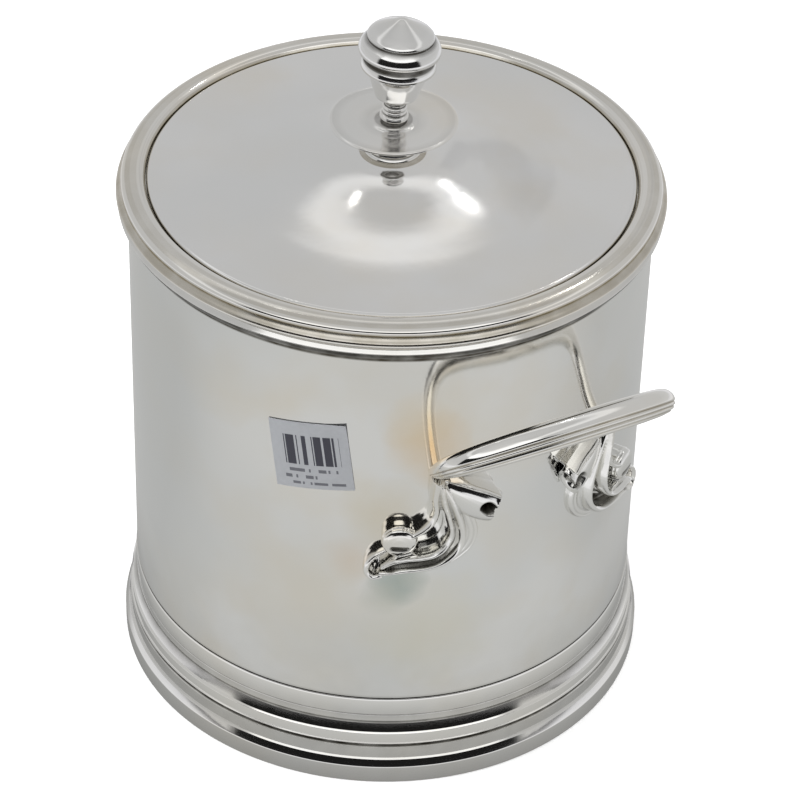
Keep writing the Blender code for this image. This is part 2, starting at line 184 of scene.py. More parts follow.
both = top.add("ShaderNodeMixShader", {0: seen_in_silver, 1: backdrop.outputs[0], 2: sheen.outputs[0]})
top.add("ShaderNodeOutputMaterial", {"Surface": both.outputs[0]})
table_mesh.materials.append(table_finish)


def softbox(name, place, size, power, in_silver):
    """A square area light that points at the bowl's middle. in_silver says if the silver mirrors it."""
    lamp = bpy.data.lights.new(name, "AREA")
    lamp.size = size
    lamp.energy = power
    holder = bpy.data.objects.new(name, lamp)
    bpy.context.scene.collection.objects.link(holder)
    aim = Vector((0, 0, CAMERA_AIM_HEIGHT * MM)) - Vector(place)
    holder.location = place
    holder.rotation_euler = aim.to_track_quat("-Z", "Y").to_euler()
    holder.visible_glossy = in_silver
    return holder


softbox("overhead_light", (0.1, 0.0, 1.6), 1.6, 17.0, False)
softbox("left_light", (-0.3, -1.3, 1.0), 0.9, 8.0, False)
softbox("left_lamp", (-0.99, 0.28, 1.75), 0.05, 0.03, True)
softbox("right_lamp", (-0.77, 1.01, 1.57), 0.05, 0.12, True)

# Foot ring: spun from sheet silver over a chuck and soldered under the drum. Going up it has a plain
# band, a sloping face and ledge, an upright, a groove, a second upright and ledge, a longer sloping face
# and a plain neck.
CORNER_STEPS = 5
RING_STEPS = 288
SMALL_RING_STEPS = 160
SHARP_ANGLE = math.radians(40)


def softened(outline):
    """Rounds an outline of (radius, height, corner radius, crevice) points and gives (radius, height,
    crevice).
    """
    made = []
    for i, (radius, height, corner, grime_and_shade) in enumerate(outline):
        here = Vector((radius, height))
        before = Vector(outline[i - 1][:2]) - here
        after = Vector(outline[(i + 1) % len(outline)][:2]) - here
        if corner == 0:
            made.append((radius, height, grime_and_shade))
            continue
        reach = min(corner, 0.49 * before.length, 0.49 * after.length)
        start = here + before.normalized() * reach
        end = here + after.normalized() * reach
        for step in range(CORNER_STEPS + 1):
            along = step / CORNER_STEPS
            spot = start.lerp(here, along).lerp(here.lerp(end, along), along)
            made.append((spot.x, spot.y, grime_and_shade))
    return made


def add_piece(name, shape, finish, body, sharp=SHARP_ANGLE):
    """Turns a bmesh into a smooth-shaded piece in the scene that rides on a body."""
    bmesh.ops.remove_doubles(shape, verts=shape.verts, dist=1e-7)
    bmesh.ops.recalc_face_normals(shape, faces=shape.faces)
    mesh = bpy.data.meshes.new(name)
    shape.to_mesh(mesh)
    shape.free()
    mesh.shade_smooth()
    mesh.set_sharp_from_angle(angle=sharp)
    mesh.materials.append(finish)
    piece = bpy.data.objects.new(name, mesh)
    bpy.context.scene.collection.objects.link(piece)
    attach(piece, body)
    return piece


def spun_shape(outline, steps):
    """Spins a softened outline about Z. An outline that starts and ends on the axis closes at its poles."""
    shape = bmesh.new()
    crevice = shape.verts.layers.float.new("crevice")
    verts = []
    for radius, height, grime_and_shade in outline:
        vert = shape.verts.new((radius * MM, 0, height * MM))
        vert[crevice] = grime_and_shade
        verts.append(vert)
    on_axis = outline[0][0] == 0 and outline[-1][0] == 0
    following = verts[1:] if on_axis else verts[1:] + verts[:1]
    edges = [shape.edges.new(pair) for pair in zip(verts, following)]
    bmesh.ops.spin(shape, geom=verts + edges, axis=(0, 0, 1), cent=(0, 0, 0),
                   angle=2 * math.pi, steps=steps, use_merge=True)
    return shape


def spun(name, outline, finish, body, node, steps=RING_STEPS, move=None, mirrored=True):
    """Makes one turned piece that replaces the CAD node of the same shape. A piece that isn't mirrored
    is left out of its neighbours' reflections."""
    shape = spun_shape(softened(outline), steps)
    if move:
        bmesh.ops.transform(shape, matrix=move, verts=shape.verts)
    piece = add_piece(name, shape, finish, body)
    piece.visible_glossy = mirrored
    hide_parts(node)
    return piece


def silver(name, colour=(0.91, 0.90, 0.87), roughness=0.075, mottle=0.05, patches=(),
           grime_and_shade_colour=(0.30, 0.25, 0.15)):
    """Polished silver: faint cloudy tarnish, fine rubbing marks, and a darker colour where crevice is high.
    With the default brown colour this is tarnish; where a near-black colour is given it is painted shade.
    Each patch is (centre in mm, size in mm, colour, strength)."""
    finish = bpy.data.materials.new(name)
    sheet = Nodes(finish)
    place = sheet.add("ShaderNodeTexCoord").outputs["Object"]

    def noise(scale, detail, output="Fac"):
        clouds = sheet.add("ShaderNodeTexNoise", {"Vector": place, "Scale": scale, "Detail": detail})
        return clouds.outputs[output]

    cloud = noise(34.0, 3.0)
    wide = noise(15.0, 2.0, "Color")
    warm = tuple(level * shade for level, shade in zip(colour, (0.97, 0.93, 0.86)))
    cool = tuple(level * shade for level, shade in zip(colour, (0.90, 0.915, 0.93)))
    tint = sheet.blend(sheet.ramp(cloud, [(0.42, 0.0), (0.66, 1.0)]), colour, warm)
    tint = sheet.blend(sheet.ramp(wide, [(0.45, 0.0), (0.60, 0.8)]), tint, cool)
    base = sheet.blend(min(1.0, mottle * 10), colour, tint)
    for centre, size, patch_colour, strength in patches:
        spot = Vector(centre) * MM
        ragged = sheet.vector("SUBTRACT", noise(90.0, 2.0, "Color"), (0.5, 0.5, 0.5))
        wander = sheet.add("ShaderNodeVectorMath", {0: ragged, "Scale": 0.7 * size * MM}, operation="SCALE")
        far = sheet.measure("DISTANCE", sheet.vector("ADD", place, wander.outputs[0]), spot)
        near = sheet.ramp(sheet.math("DIVIDE", far, size * MM),
                          [(0.0, strength), (0.45, strength * 0.7), (1.0, 0.0)])
        base = sheet.blend(near, base, patch_colour)
    # Where crevice is high the colour turns to the crevice colour: tarnish when it is brown, painted shade
    # when it is near black.
    crevice = sheet.add("ShaderNodeAttribute", attribute_name="crevice").outputs["Fac"]
    blotch = noise(160.0, 4.0)
    grime_and_shade = sheet.math("MULTIPLY", crevice, sheet.ramp(blotch, [(0.30, 0.70), (0.60, 1.0)]))
    base = sheet.blend(grime_and_shade, base, grime_and_shade_colour)
    rub = noise(420.0, 3.0)
    rough = sheet.math("ADD", roughness - 0.02, sheet.math("MULTIPLY", rub, 0.04))
    rough = sheet.math("ADD", rough, sheet.math("MULTIPLY", grime_and_shade, 0.30))
    relief = sheet.add("ShaderNodeBump", {"Height": noise(45.0, 1.0), "Strength": 0.05, "Distance": 0.002})
    fine = sheet.add("ShaderNodeBump", {"Height": rub, "Strength": 0.02, "Distance": 0.0004,
                                        "Normal": relief.outputs[0]})
    shader = sheet.add("ShaderNodeBsdfPrincipled", {"Base Color": base, "Metallic": 1.0, "Roughness": rough,
                                                    "Normal": fine.outputs[0]})
    sheet.add("ShaderNodeOutputMaterial", {"Surface": shader.outputs[0]})
    return finish


# moulding_silver's near-black crevice colour is tarnish and painted shade in the foot's grooves, and painted
# shade under the rim's bead.
moulding_silver = silver("moulding_silver", roughness=0.06, grime_and_shade_colour=(0.05, 0.045, 0.035))
FOOT_TOP = 27.4
spun("foot_ring", [
    (71.6, 0.0, 0.2, 0.3), (73.6, 0.0, 0.3, 0.2), (73.8, 0.5, 0.3, 0.1), (73.8, 5.5, 0.25, 0.05),
    (72.85, 7.5, 0.12, 0.1), (72.3, 8.0, 0.1, 0.2), (72.25, 11.6, 0.1, 0.3), (71.7, 11.8, 0.05, 1.0),
    (71.7, 12.6, 0.05, 1.0), (72.2, 12.8, 0.08, 0.1), (71.8, 13.05, 0.1, 0.0), (71.85, 16.0, 0.1, 0.0),
    (71.35, 16.45, 0.12, 0.0), (70.27, 18.75, 0.1, 0.6), (70.25, 19.4, 0.1, 0.8), (70.32, 19.7, 0.1, 0.2),
    (70.32, 21.5, 0.1, 0.3), (70.22, 21.75, 0.05, 0.6), (70.32, 22.0, 0.1, 0.2),
    (70.3, 26.9, 0.3, 0.0), (70.12, FOOT_TOP, 0.1, 0.2), (67.6, FOOT_TOP, 0.2, 0.3),
    (67.6, 26.2, 0.2, 0.3), (69.2, 26.2, 0.5, 0.3), (69.4, 20.0, 1.0, 0.2), (70.8, 12.0, 1.0, 0.2),
    (71.6, 5.0, 1.0, 0.2)], moulding_silver, "bowl", "foot_ring")

# Body wall: the drum, rolled from sheet, seamed and polished. It carries a little cloudy tarnish, warm
# patches near the handle that are a painted reflection of it, and a blue-green bloom under the front mount.
BODY_RADIUS = 70.0
WALL_TOP = 146.4
INNER_RADIUS = 68.8


def on_wall(along, height, out=0.0):
    """A point on the drum, along is the distance round it from the handle's middle."""
    angle = along / BODY_RADIUS
    radius = BODY_RADIUS + out
    return (radius * math.cos(angle), radius * math.sin(angle), height)


# The first four patches, warm and by the front mount, are a painted reflection of the handle.
wall_silver = silver("wall_silver", (0.91, 0.905, 0.885), 0.10, 0.10, patches=[
    (on_wall(-27.5, 113.0), 13.0, (0.86, 0.62, 0.33), 0.55),
    (on_wall(-31.0, 121.0), 10.0, (0.88, 0.70, 0.44), 0.35),
    (on_wall(-38.5, 92.0), 12.0, (0.80, 0.72, 0.56), 0.5),
    (on_wall(-47.5, 76.0), 9.0, (0.84, 0.70, 0.55), 0.5),
    (on_wall(-35.0, 68.5), 8.5, (0.36, 0.45, 0.42), 0.75),
    (on_wall(-39.0, 63.5), 7.0, (0.50, 0.55, 0.50), 0.5),
    (on_wall(-27.0, 52.0), 22.0, (0.84, 0.80, 0.66), 0.6),
    (on_wall(-62.0, 60.0), 26.0, (0.84, 0.79, 0.68), 0.4)], grime_and_shade_colour=(0.08, 0.07, 0.05))
# The band just under the rim, at full crevice, is painted near black: a painted shade under the bead.
spun("body_wall", [
    (BODY_RADIUS, 27.7, 0.1, 0.3), (BODY_RADIUS, 28.6, 0.0, 0.1), (BODY_RADIUS, 60.0, 0.0, 0.0),
    (BODY_RADIUS, 100.0, 0.0, 0.0), (BODY_RADIUS, 140.9, 0.0, 0.0), (BODY_RADIUS, 141.4, 0.0, 1.0),
    (BODY_RADIUS, 142.2, 0.0, 1.0),
    (BODY_RADIUS, WALL_TOP, 0.2, 0.2), (INNER_RADIUS, WALL_TOP, 0.2, 0.0), (INNER_RADIUS, 27.7, 0.1, 0.3)],
     wall_silver, "bowl", "body_wall")

# Body floor: a disc with a turned-up edge soldered into the drum, dull inside where it was never buffed.
inner_silver = silver("inner_silver", (0.80, 0.785, 0.75), 0.24, 0.08)
spun("body_floor", [
    (0, 27.9, 0.0, 0.1), (68.5, 27.9, 0.4, 0.3), (68.5, 31.7, 0.3, 0.3), (67.5, 31.7, 0.3, 0.2),
    (67.5, 29.6, 0.8, 0.5), (66.0, 29.1, 0.8, 0.2), (0, 29.1, 0.0, 0.0)],
     inner_silver, "bowl", "body_floor")

# Body rim: a silver bead with a crisp lower edge, soldered round the mouth. Its underside is painted near
# black as shade under the bead.
spun("body_rim", [
    (70.3, 142.3, 0.1, 1.0), (71.0, 142.6, 0.3, 1.0), (71.9, 143.6, 0.6, 1.0), (72.6, 144.9, 0.15, 1.0),
    (72.7, 145.2, 0.1, 0.1), (72.1, 145.8, 0.3, 0.15), (71.6, 146.3, 0.2, 0.1), (71.3, 146.6, 0.1, 0.1),
    (70.3, 146.9, 0.2, 0.5)],
     moulding_silver, "bowl", "body_rim")

# Lid border: the lid's moulded edge, spun, with a flared face over the rim, a bead, a slightly hollow
# band and the groove that parts it from the cover.
border_silver = silver("border_silver", (0.90, 0.88, 0.84), 0.06, 0.08)
spun("lid_border", [
    (69.3, 147.2, 0.1, 0.5), (72.6, 147.2, 0.2, 0.2), (73.1, 147.6, 0.3, 0.0), (72.9, 148.4, 0.4, 0.55),
    (72.0, 149.1, 0.8, 0.55), (71.45, 149.85, 0.1, 1.0), (71.7, 150.3, 0.3, 0.2), (71.65, 151.1, 0.4, 0.0),
    (71.1, 151.6, 0.5, 0.0), (70.0, 152.1, 1.0, 0.32), (68.4, 152.4, 1.0, 0.2), (66.9, 152.35, 0.8, 0.0),
    (66.0, 152.0, 0.4, 0.1), (65.6, 151.5, 0.2, 0.5), (65.25, 151.1, 0.1, 1.0),
    (65.25, 149.9, 0.1, 0.5), (69.3, 149.9, 0.1, 0.3)], border_silver, "lid", "lid_border")

# Lid flange: the collar that drops into the mouth and keeps the lid centred, satin inside.
spun("lid_flange", [
    (67.8, 136.6, 0.1, 0.0), (68.15, 136.6, 0.1, 0.0), (68.4, 137.4, 0.3, 0.0), (68.4, 149.5, 0.2, 0.3),
    (63.2, 149.5, 0.2, 0.3), (63.2, 148.7, 0.2, 0.1), (67.5, 148.7, 0.4, 0.3), (67.5, 137.4, 0.3, 0.0)],
     inner_silver, "lid", "lid_flange")

# Lid cover: spun sheet, nearly flat, with a rolled edge in the border's groove and a low bell that
# rises to the finial.
COVER_TOP = 158.5
COVER_BORE = 1.95
SHEET = 1.0
RISE_STEPS = 92
COVER_RISE = [(62.4, 151.68), (60.0, 151.75), (55.0, 151.95), (50.0, 152.2), (45.0, 152.6), (41.0, 153.05),
              (35.0, 153.85), (30.0, 154.75), (25.0, 155.8), (22.0, 156.5), (19.0, 157.2), (16.0, 157.8),
              (13.0, 158.25), (10.6, 158.44), (9.0, 158.5)]


def smooth_line(points, steps):
    """Catmull-Rom curve through points, sampled evenly in its parameter."""
    padded = [2 * points[0] - points[1]] + points + [2 * points[-1] - points[-2]]
    line = []
    for i in range(steps):
        place = i / (steps - 1) * (len(points) - 1)
        k = min(int(place), len(points) - 2)
        f = place - k
        a, b, c, d = padded[k:k + 4]
        line.append(0.5 * (2 * b + (c - a) * f + (2 * a - 5 * b + 4 * c - d) * f * f
                           + (3 * b - a - 3 * c + d) * f ** 3))
    return line


cover_silver = silver("cover_silver", (0.90, 0.895, 0.885), 0.09, 0.07)
rise = [(spot.x, spot.y) for spot in smooth_line([Vector(spot) for spot in COVER_RISE], RISE_STEPS)]
cover_outline = [(64.9, 149.9, 0.1, 0.5), (64.9, 151.1, 0.3, 0.6), (64.3, 151.6, 0.4, 0.0),
                 (63.4, 151.66, 0.4, 0.0)]
cover_outline += [(radius, height, 0.0, 0.0) for radius, height in rise]
cover_outline += [(8.6, COVER_TOP, 0.2, 0.7), (COVER_BORE, COVER_TOP, 0.2, 0.3),
                  (COVER_BORE, COVER_TOP - SHEET, 0.2, 0.3)]
cover_outline += [(radius, height - SHEET, 0.0, 0.0) for radius, height in reversed(rise)]
cover_outline += [(63.4, 150.7, 0.3, 0.0), (63.9, 149.9, 0.1, 0.3)]
spun("lid_cover", cover_outline, cover_silver, "lid", "lid_cover")

# Finial collar and disc: the waisted collar is turned, and the disc is a thin saucer with a rolled
# edge and a small boss. Both are held down by the stud.
# finial_silver's near-black crevice colour paints the finial's grooves and undersides dark: a painted shade.
finial_silver = silver("finial_silver", (0.90, 0.89, 0.87), 0.12, 0.08, grime_and_shade_colour=(0.06, 0.055, 0.045))


def finial_part(name, outline, move=None, mirrored=False):
    """Turns one silver piece of the finial, which rides on the lid."""
    spun(name, outline, finial_silver, "lid", name, SMALL_RING_STEPS, move, mirrored)


finial_part("finial_collar", [
    (1.95, 158.8, 0.1, 0.3), (7.6, 158.8, 0.2, 0.8), (7.8, 159.3, 0.4, 0.0), (7.4, 159.8, 0.2, 0.1),
    (7.0, 160.0, 0.1, 0.8), (7.1, 160.5, 0.4, 0.0), (6.7, 161.1, 0.1, 0.6), (6.5, 162.6, 1.5, 0.0),
    (6.7, 164.0, 0.2, 0.5), (7.4, 164.5, 0.4, 0.0), (7.4, 165.4, 0.4, 0.0), (7.1, 166.3, 0.2, 0.6),
    (1.95, 166.3, 0.1, 0.3)])
finial_part("finial_disc", [
    (1.95, 166.6, 0.1, 0.3), (6.0, 166.6, 0.3, 0.5), (12.5, 166.9, 2.0, 0.1), (16.3, 167.3, 0.3, 0.2),
    (16.95, 167.6, 0.3, 0.0), (17.0, 168.05, 0.3, 0.0), (16.5, 168.38, 0.3, 0.0), (15.8, 168.25, 0.3, 0.1),
    (11.5, 167.9, 2.0, 0.0), (6.5, 167.8, 0.6, 0.1), (5.6, 168.1, 0.3, 0.1), (4.6, 168.2, 0.2, 0.5),
    (1.95, 168.2, 0.1, 0.5)])

# Stem and knob: four turned pieces stacked on the disc, a beaded neck, a bell-shaped cup, a flared band
# and a low conical cap. They lean over a little together.
KNOB_LEAN = 3.0
KNOB_LEAN_TOWARDS = 57.5
DISC_TOP = 168.2
lean_azimuth = math.radians(KNOB_LEAN_TOWARDS)
lean_axis = Vector((-math.sin(lean_azimuth), math.cos(lean_azimuth), 0))
pivot = Vector((0, 0, DISC_TOP * MM))
lean = (Matrix.Translation(pivot) @ Matrix.Rotation(math.radians(KNOB_LEAN), 4, lean_axis)
        @ Matrix.Translation(-pivot))
finial_part("finial_stem", [
    (1.95, 168.75, 0.1, 0.5), (3.4, 168.75, 0.1, 0.9), (3.8, 169.1, 0.4, 0.0), (3.8, 170.1, 0.4, 0.0),
    (2.8, 170.5, 0.1, 0.9), (3.25, 170.8, 0.3, 0.0), (3.25, 171.4, 0.3, 0.0), (2.7, 171.7, 0.1, 0.9),
    (3.25, 172.0, 0.3, 0.0), (3.25, 172.6, 0.3, 0.0), (2.7, 172.9, 0.1, 0.9), (2.75, 173.6, 0.4, 0.2),
    (3.2, 174.2, 0.3, 0.0), (3.6, 175.0, 0.1, 0.4), (1.95, 175.0, 0.1, 0.5)], lean, mirrored=True)
finial_part("finial_cup", [
    (0, 181.0, 0.0, 0.3), (1.95, 181.0, 0.1, 0.3), (1.95, 175.3, 0.1, 0.3), (4.4, 175.3, 0.2, 0.6),
    (5.6, 175.8, 0.5, 0.3), (6.0, 176.8, 0.5, 0.0), (6.5, 178.6, 0.8, 0.0), (7.2, 180.8, 0.8, 0.0),
    (8.1, 182.8, 0.6, 0.0), (9.0, 184.0, 0.3, 0.2), (9.9, 184.5, 0.2, 0.0), (9.9, 185.2, 0.2, 0.0),
    (9.6, 186.2, 0.2, 0.0), (9.2, 186.7, 0.1, 0.9), (8.9, 186.9, 0.1, 1.0), (8.2, 187.0, 0.1, 1.0),
    (0, 187.0, 0.0, 0.2)], lean)
finial_part("finial_ring", [
    (0, 187.3, 0.0, 0.2), (8.3, 187.3, 0.1, 1.0), (8.4, 188.1, 0.2, 1.0), (9.4, 188.3, 0.2, 1.0),
    (10.6, 188.9, 0.2, 0.8), (10.85, 189.6, 0.3, 0.0), (10.75, 190.4, 0.4, 0.0), (10.1, 191.7, 0.6, 0.0),
    (8.9, 192.8, 0.1, 0.6), (8.5, 193.0, 0.1, 1.0), (0, 193.0, 0.0, 0.2)], lean)
finial_part("finial_cap", [
    (0, 193.3, 0.0, 0.2), (8.3, 193.3, 0.1, 1.0), (8.9, 193.7, 0.2, 0.3), (8.5, 194.3, 0.3, 0.0),
    (7.7, 194.9, 0.6, 0.0), (5.4, 196.2, 0.8, 0.05), (3.0, 197.5, 0.8, 0.05), (1.4, 198.4, 0.3, 0.0),
    (0.6, 198.7, 0.2, 0.0), (0, 198.75, 0.0, 0.0)], lean)

# Finial fixing: brass stud, washer and nut under the lid. The thread is cut as rings on the stud, and
# the nut's corners are eased.
brass = silver("dull_brass", (0.72, 0.55, 0.27), 0.28, 0.10)
THREAD_PITCH = 0.5
THREAD_TURNS = 7
THREAD_START = 152.4
STUD_STEPS = 48
WASHER_STEPS = 96
stud_outline = [(0, 152.0, 0.0, 0.0), (0.95, 152.0, 0.1, 0.0)]
for turn in range(THREAD_TURNS):
    level = THREAD_START + turn * THREAD_PITCH
    stud_outline += [(1.1, level, 0.0, 0.6), (1.25, level + THREAD_PITCH / 2, 0.0, 0.0)]
stud_outline += [(1.25, 156.4, 0.0, 0.0), (1.25, 177.7, 0.2, 0.0), (0.95, 178.0, 0.1, 0.0),
                 (0, 178.0, 0.0, 0.0)]
spun("finial_stud", stud_outline, brass, "lid", "finial_stud", STUD_STEPS, mirrored=False)
spun("finial_washer", [
    (1.95, 156.4, 0.1, 0.3), (4.6, 156.4, 0.15, 0.1), (4.6, 157.2, 0.15, 0.1), (1.95, 157.2, 0.1, 0.3)],
     brass, "lid", "finial_washer", WASHER_STEPS)

NUT_BOTTOM = 153.5
NUT_TOP = 156.1
NUT_CORNER = 6.0 / math.sqrt(3)
NUT_EASING = 0.25
NUT_WALL = 0.9
nut_shape = bmesh.new()
bmesh.ops.create_cone(nut_shape, cap_ends=True, segments=6, radius1=NUT_CORNER * MM, radius2=NUT_CORNER * MM,
                      depth=(NUT_TOP - NUT_BOTTOM) * MM)
bmesh.ops.translate(nut_shape, verts=nut_shape.verts, vec=(0, 0, (NUT_TOP + NUT_BOTTOM) / 2 * MM))
rim_edges = [edge for edge in nut_shape.edges if abs(edge.verts[0].co.z - edge.verts[1].co.z) < 1e-9]
bmesh.ops.bevel(nut_shape, geom=rim_edges, offset=NUT_EASING * MM, offset_type="OFFSET", segments=2,
                profile=0.5, affect="EDGES", material=-1)
cap_faces = [face for face in nut_shape.faces if abs(face.normal.z) > 0.99]
bmesh.ops.inset_region(nut_shape, faces=cap_faces, thickness=NUT_WALL * MM)
hole_loops = []
for face in cap_faces:
    hole_loops += list(face.edges)
bmesh.ops.delete(nut_shape, geom=cap_faces, context="FACES_ONLY")
bmesh.ops.bridge_loops(nut_shape, edges=hole_loops)
nut = add_piece("finial_nut", nut_shape, brass, "lid", math.radians(25))
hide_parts("finial_nut")

# Handle loop: a cast bar bent to a squared D and chased with reeds. It is thickest in the grip, thins
# towards its ends, and slopes up from the wall.
HANDLE_SPREAD = 24.4
HANDLE_ROOT = 104.2
HANDLE_REACH = 32.2
HANDLE_SLOPE = 42.5
HANDLE_TILT = 3.5
HANDLE_RADIUS = 3.95
HANDLE_END = 0.50
HANDLE_TUCK = 3.0
LEG_REACH = 16.5
LEG_FLARE = 7.1
CORNER_FLARE = 20.6
LOOP_MIDDLE = 12
REED_ANGLES = (104, 126, 148, 170)
REED_WIDTH = 9.0
REED_DEPTH = 0.11
REED_DIRT = 0.75
SECTION_POINTS = 96
PATH_POINTS = 121


def handle_section():
    """Cross-section of the bar: (up, out) from its centre, round with grooves between the reeds."""
    section = []
    for i in range(SECTION_POINTS):
        angle = 360.0 * i / SECTION_POINTS
        off_top = min(angle, 360 - angle)
        groove = sum(math.exp(-((off_top - reed) / (REED_WIDTH / 2)) ** 2) for reed in REED_ANGLES)
        reach = 1 - REED_DEPTH * min(1.0, groove)
        section.append((reach * math.cos(math.radians(angle)), reach * math.sin(math.radians(angle)), groove))
    return section


def handle_path():
    """Centre line of the loop with, at each point, its outward and upward directions."""
    slope = math.radians(HANDLE_SLOPE)
    root = math.sqrt(BODY_RADIUS ** 2 - HANDLE_SPREAD ** 2)
    start = Vector((-HANDLE_TUCK, HANDLE_SPREAD, 0))
    leg = Vector((LEG_REACH, HANDLE_SPREAD + LEG_FLARE, 0))
    corner = Vector((HANDLE_REACH, HANDLE_SPREAD + CORNER_FLARE, 0))
    middle = Vector((HANDLE_REACH, 0, 0))
    half = geometry.interpolate_bezier(start, leg, corner, middle, (PATH_POINTS + 1) // 2)
    flat = half + [Vector((spot.x, -spot.y, 0)) for spot in reversed(half[:-1])]
    tilt = Matrix.Rotation(-math.radians(HANDLE_TILT), 3, "X")
    run = tilt @ Vector((math.cos(slope), 0, math.sin(slope)))
    across = tilt @ Vector((0, 1, 0))
    up = run.cross(across)
    up = up if up.z > 0 else -up
    stations = []
    for i, spot in enumerate(flat):
        ahead = flat[min(i + 1, len(flat) - 1)] - flat[max(i - 1, 0)]
        outward = Vector((-ahead.y, ahead.x, 0)).normalized()
        outward = -outward if outward.x * (spot.x - LOOP_MIDDLE) + outward.y * spot.y < 0 else outward
        centre = Vector((root, 0, HANDLE_ROOT)) + run * spot.x + across * spot.y
        stations.append((centre, run * outward.x + across * outward.y, up))
    return stations


def handle_size(along):
    """The bar's radius, with along going from 0 at one end of the loop to 1 at the other."""
    return HANDLE_RADIUS * (HANDLE_END + (1 - HANDLE_END) * math.sin(math.pi * along) ** 2)


def swept_bar(stations, section, size_at):
    """Sweeps a closed section along stations of (centre, out, up), scaled by size_at(0..1), ends capped."""
    shape = bmesh.new()
    crevice = shape.verts.layers.float.new("crevice")
    loops = []
    for i, (centre, out, up) in enumerate(stations):
        size = size_at(i / (len(stations) - 1))
        ring = []
        for rise, reach, groove in section:
            vert = shape.verts.new((centre + (up * rise + out * reach) * size) * MM)
            vert[crevice] = min(1.0, groove) * REED_DIRT
            ring.append(vert)
        loops.append([shape.edges.new((ring[k - 1], ring[k])) for k in range(len(ring))])
        if i in (0, len(stations) - 1):
            shape.faces.new(ring)
    for first, second in zip(loops, loops[1:]):
        bmesh.ops.bridge_loops(shape, edges=first + second)
    return shape


handle_silver = silver("handle_silver", (0.90, 0.89, 0.86), 0.07, 0.06)
handle_shape = swept_bar(handle_path(), handle_section(), handle_size)
handle = add_piece("handle_loop", handle_shape, handle_silver, "bowl", math.radians(60))
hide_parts("handle_loop")

# Leaf mounts: two mirrored castings that join the loop's ends to the wall. Each is a stem that runs
# into a scroll, with a veined leaf sweeping under it and a second, curled lobe towards the handle's
# middle. The parts are modelled flat, fused into one skin, and bent round the drum.
VOXEL = 0.2
BACK_MOUNT_DROP = 1.8
MOUNT_SEAM = 0.15
BLADE_STEPS = 46
BLADE_POINTS = 15
BOSS_STEPS = 40
CURL_STEPS = 30
CURL_POINTS = 28
HOLLOW_PASSES = 14
HOLLOW_REACH = 0.55
PRESS_STEPS = 20


def loft(shape, rings):
    """Skins a row of rings of points, and closes both ends."""
    loops = []
    for i, ring in enumerate(rings):
        verts = [shape.verts.new(point) for point in ring]
        loops.append([shape.edges.new((verts[k - 1], verts[k])) for k in range(len(verts))])
        if i in (0, len(rings) - 1):
            shape.faces.new(verts)
    for first, second in zip(loops, loops[1:]):
        bmesh.ops.bridge_loops(shape, edges=first + second)


def relief_blade(shape, route, width, thickness, veins, cup, lift=None):
    """Adds one tapering lobe. route is a list of (along, height) points for a smooth curve; width,
    thickness and lift are functions of 0..1 along it; veins is how many grooves it has; cup hollows it."""
    line = smooth_line([Vector((*spot, 0)) for spot in route], BLADE_STEPS)
    rings = []
    for i, spot in enumerate(line):
        t = i / (len(line) - 1)
        ahead = line[min(i + 1, len(line) - 1)] - line[max(i - 1, 0)]
        side = Vector((-ahead.y, ahead.x, 0)).normalized()
        half = width(t) / 2
        raised = lift(t) if lift else 0.0
        ring = []
        for k in range(BLADE_POINTS):
            u = 2 * k / (BLADE_POINTS - 1) - 1
            crown = thickness(t) * (1 - cup + cup * u * u) * (1 - 0.55 * abs(u) ** 6)
            groove = 0.28 * (0.5 - 0.5 * math.cos(2 * math.pi * veins * (u + 1) / 2)) * min(1.0, half)
            ring.append(spot + side * (half * u) + Vector((0, 0, raised + crown + groove)))
        for k in reversed(range(BLADE_POINTS)):
            u = 2 * k / (BLADE_POINTS - 1) - 1
            ring.append(spot + side * (half * u * 0.94) + Vector((0, 0, max(-0.6, raised - 0.8))))
        rings.append(ring)
    loft(shape, rings)


def swell(start, middle, end, peak=0.5):
    """A width that runs from start through middle, reached at peak, to end."""
    def at(t):
        if t < peak:
            return start + (middle - start) * math.sin(math.pi / 2 * t / peak)
        return end + (middle - end) * math.cos(math.pi / 2 * (t - peak) / (1 - peak))
    return at


